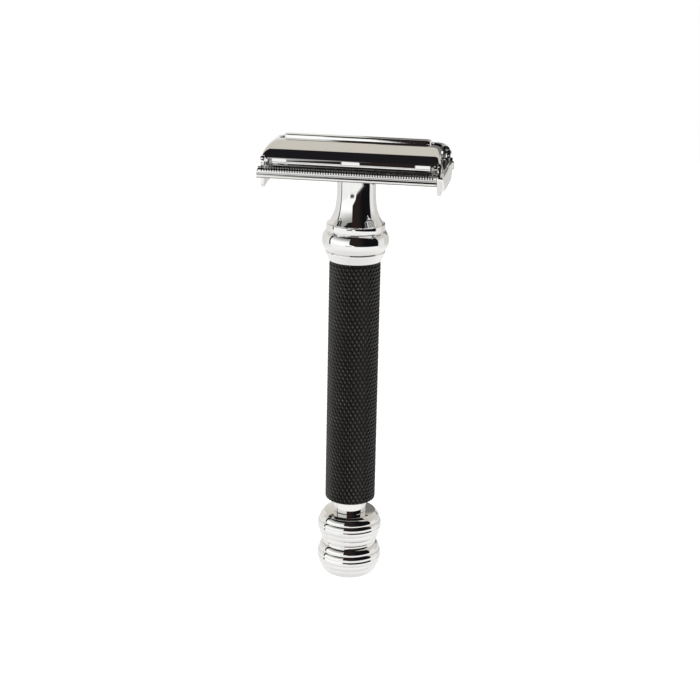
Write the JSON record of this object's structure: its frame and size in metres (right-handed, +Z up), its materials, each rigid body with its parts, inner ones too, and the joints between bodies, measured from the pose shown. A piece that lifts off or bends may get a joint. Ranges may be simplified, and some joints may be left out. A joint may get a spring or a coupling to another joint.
{
  "type": "safety razor",
  "caption": "Double-edge safety razor with a knurled black handle, a two-bead twist knob and a curved head whose two doors swing open.",
  "frame": {"origin": "centre of the knob's flat bottom", "axes": "+Z up along the handle, X along the blade, -Y towards the front door"},
  "size_m": [0.0436, 0.0236, 0.1107],
  "materials": {
    "chrome": "bright polished chrome plate",
    "black_paint": "satin black paint over diamond knurling",
    "steel": "plain turned and stamped steel",
    "brass": "turned brass",
    "blade_steel": "fine ground blade steel with honed edges"
  },
  "bodies": {
    "handle": {"handle_tube": "black_paint", "neck_collar": "chrome", "guide_bush": "brass", "stem_bush": "brass", "thrust_washer": "steel", "guard_plate": "chrome", "blade": "blade_steel", "left_end_plate": "chrome", "right_end_plate": "chrome", "front_hinge_pin_left": "steel", "front_hinge_pin_right": "steel", "rear_hinge_pin_left": "steel", "rear_hinge_pin_right": "steel"},
    "knob": {"knob": "chrome", "knob_stem": "chrome", "drive_nut": "brass", "wave_spring": "steel", "retaining_ring": "steel"},
    "lifter": {"lift_rod": "steel", "lift_yoke": "steel", "yoke_nut": "steel", "spine_bar": "chrome"},
    "front_door": {"front_door": "chrome", "front_drive_pin_left": "steel", "front_drive_pin_right": "steel"},
    "rear_door": {"rear_door": "chrome", "rear_drive_pin_left": "steel", "rear_drive_pin_right": "steel"}
  },
  "joints": [
    {"name": "knob_turn", "type": "hinge", "parent": "handle", "child": "knob", "pos_m": [0, 0, 0.0082], "axis": [0, 0, -1], "range_deg": [0, 585]},
    {"name": "spine_lift", "type": "slide", "parent": "handle", "child": "lifter", "axis": [0, 0, 1], "range_m": [0, 0.0026]},
    {"name": "front_door_swing", "type": "hinge", "parent": "handle", "child": "front_door", "pos_m": [0, -0.0096, 0.1062], "axis": [1, 0, 0], "range_deg": [0, 80]},
    {"name": "rear_door_swing", "type": "hinge", "parent": "handle", "child": "rear_door", "pos_m": [0, 0.0096, 0.1062], "axis": [-1, 0, 0], "range_deg": [0, 80]}
  ],
  "couplings": [
    {"joint": "knob_turn", "follows": "spine_lift", "rad_per_m": 3927},
    {"joint": "front_door_swing", "follows": "spine_lift", "rad_per_m": 537.02},
    {"joint": "rear_door_swing", "follows": "spine_lift", "rad_per_m": 537.02}
  ]
}
